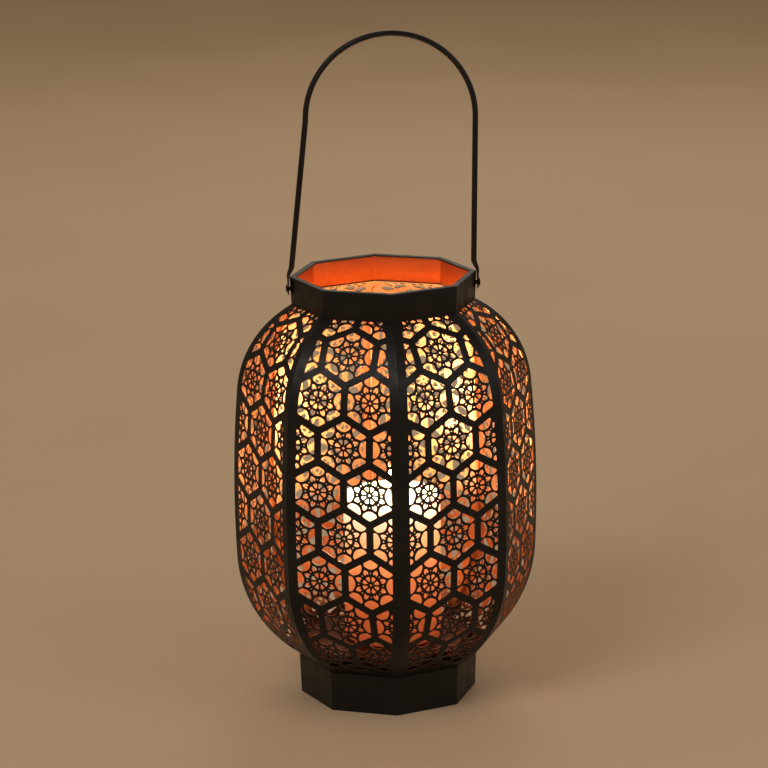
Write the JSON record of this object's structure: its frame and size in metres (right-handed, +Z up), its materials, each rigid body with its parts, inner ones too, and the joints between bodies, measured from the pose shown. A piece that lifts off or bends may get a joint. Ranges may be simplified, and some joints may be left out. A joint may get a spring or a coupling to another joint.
{
  "type": "candle lantern",
  "caption": "Octagonal barrel lantern of cut and bent steel panels with a collar, a base band, a swinging wire handle and a pillar candle.",
  "frame": {"origin": "on the table, under the middle of the base band", "axes": "+Z up; the barrel has a corner on each of +X, -X, +Y and -Y, and the handle is riveted at the +X and -X corners"},
  "size_m": [0.2114, 0.2114, 0.4681],
  "materials": {
    "black_paint": "satin",
    "copper_paint": "satin metallic",
    "black_wire": "satin",
    "ivory_wax": "satin wax",
    "wick_cotton": "charred"
  },
  "bodies": {
    "lantern_body": {"fret_panel_1": "black_paint", "fret_panel_2": "black_paint", "fret_panel_3": "black_paint", "fret_panel_4": "black_paint", "fret_panel_5": "black_paint", "fret_panel_6": "black_paint", "fret_panel_7": "black_paint", "fret_panel_8": "black_paint", "corner_seam_1": "copper_paint", "corner_seam_2": "copper_paint", "corner_seam_3": "copper_paint", "corner_seam_4": "copper_paint", "corner_seam_5": "copper_paint", "corner_seam_6": "copper_paint", "corner_seam_7": "copper_paint", "corner_seam_8": "copper_paint", "collar_band": "black_paint", "base_band": "black_paint", "floor_pan": "copper_paint", "handle_rivet_left": "black_wire", "handle_rivet_right": "black_wire"},
    "handle": {"handle_bail": "black_wire"},
    "candle_set": {"candle": "ivory_wax", "wick": "wick_cotton"}
  },
  "joints": [
    {"name": "handle_swing", "type": "hinge", "parent": "lantern_body", "child": "handle", "pos_m": [0, 0, 0.2914], "axis": [1, 0, 0], "range_deg": [-108, 108]},
    {"name": "candle_lift", "type": "slide", "parent": "lantern_body", "child": "candle_set", "axis": [0, 0, 1], "range_m": [0, 0.276]}
  ]
}
